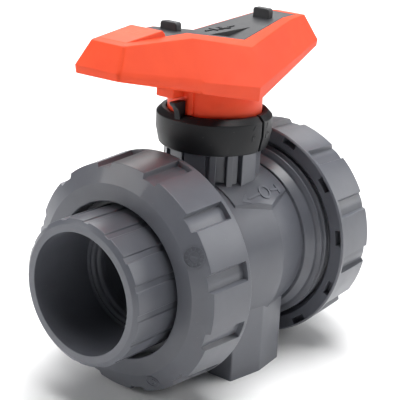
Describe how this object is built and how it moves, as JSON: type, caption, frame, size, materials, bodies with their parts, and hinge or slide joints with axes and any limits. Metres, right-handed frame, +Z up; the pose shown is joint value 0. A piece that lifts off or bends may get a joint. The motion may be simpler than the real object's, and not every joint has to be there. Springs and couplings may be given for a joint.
{
  "type": "true-union ball valve",
  "caption": "Plastic true-union ball valve with solvent-cement sockets, a rising two-arm lever, an index ring and a fixing foot.",
  "frame": {"origin": "centre of the foot's underside, below the crossing of the pipe axis and the stem axis", "axes": "+X along the pipe axis, from the union end with the screwed bush to the other; +Z up along the stem to the lever"},
  "size_m": [0.202, 0.1242, 0.1926],
  "materials": {
    "grey_plastic": "moulded, satin",
    "orange_plastic": "moulded, satin",
    "black_plastic": "moulded, satin",
    "seat_plastic": "turned, smooth",
    "seal_rubber": "matt",
    "brass": "turned",
    "stainless": "turned"
  },
  "bodies": {
    "body": {"valve_body": "grey_plastic", "union_bush": "grey_plastic", "union_bush_seal": "seal_rubber", "ball_seat_front": "seat_plastic", "ball_seat_rear": "seat_plastic", "seat_backing_ring_front": "seal_rubber", "seat_backing_ring_rear": "seal_rubber", "stem_bearing_ring": "seat_plastic", "index_ring": "black_plastic", "foot_insert_left": "brass", "foot_insert_right": "brass"},
    "lever_set": {"lever": "orange_plastic", "lever_screw": "stainless", "stem": "grey_plastic", "stem_seal_lower": "seal_rubber", "stem_seal_upper": "seal_rubber", "ball": "grey_plastic"},
    "key": {"key_insert": "black_plastic"},
    "front_end": {"union_end_front": "grey_plastic", "face_seal_front": "seal_rubber"},
    "front_nut": {"union_nut_front": "grey_plastic"},
    "rear_end": {"union_end_rear": "grey_plastic", "face_seal_rear": "seal_rubber"},
    "rear_nut": {"union_nut_rear": "grey_plastic"}
  },
  "joints": [
    {"name": "lever_turn", "type": "hinge", "parent": "body", "child": "lever_set", "pos_m": [0, 0, 0.063], "axis": [0, 0, 1], "range_deg": [-90, 0]},
    {"name": "key_lift", "type": "slide", "parent": "lever_set", "child": "key", "axis": [0, 0, 1], "range_m": [0, 0.03]},
    {"name": "front_end_slide", "type": "slide", "parent": "body", "child": "front_end", "axis": [-1, 0, 0], "range_m": [0, 0.0138]},
    {"name": "front_nut_turn", "type": "hinge", "parent": "front_end", "child": "front_nut", "pos_m": [-0.0582, 0, 0.063], "axis": [-1, 0, 0], "range_deg": [0, 1080]},
    {"name": "rear_end_slide", "type": "slide", "parent": "body", "child": "rear_end", "axis": [1, 0, 0], "range_m": [0, 0.0138]},
    {"name": "rear_nut_turn", "type": "hinge", "parent": "rear_end", "child": "rear_nut", "pos_m": [0.0582, 0, 0.063], "axis": [1, 0, 0], "range_deg": [0, 1080]}
  ],
  "couplings": [
    {"joint": "front_end_slide", "follows": "front_nut_turn", "m_per_rad": 0.00073211},
    {"joint": "rear_end_slide", "follows": "rear_nut_turn", "m_per_rad": 0.00073211}
  ]
}
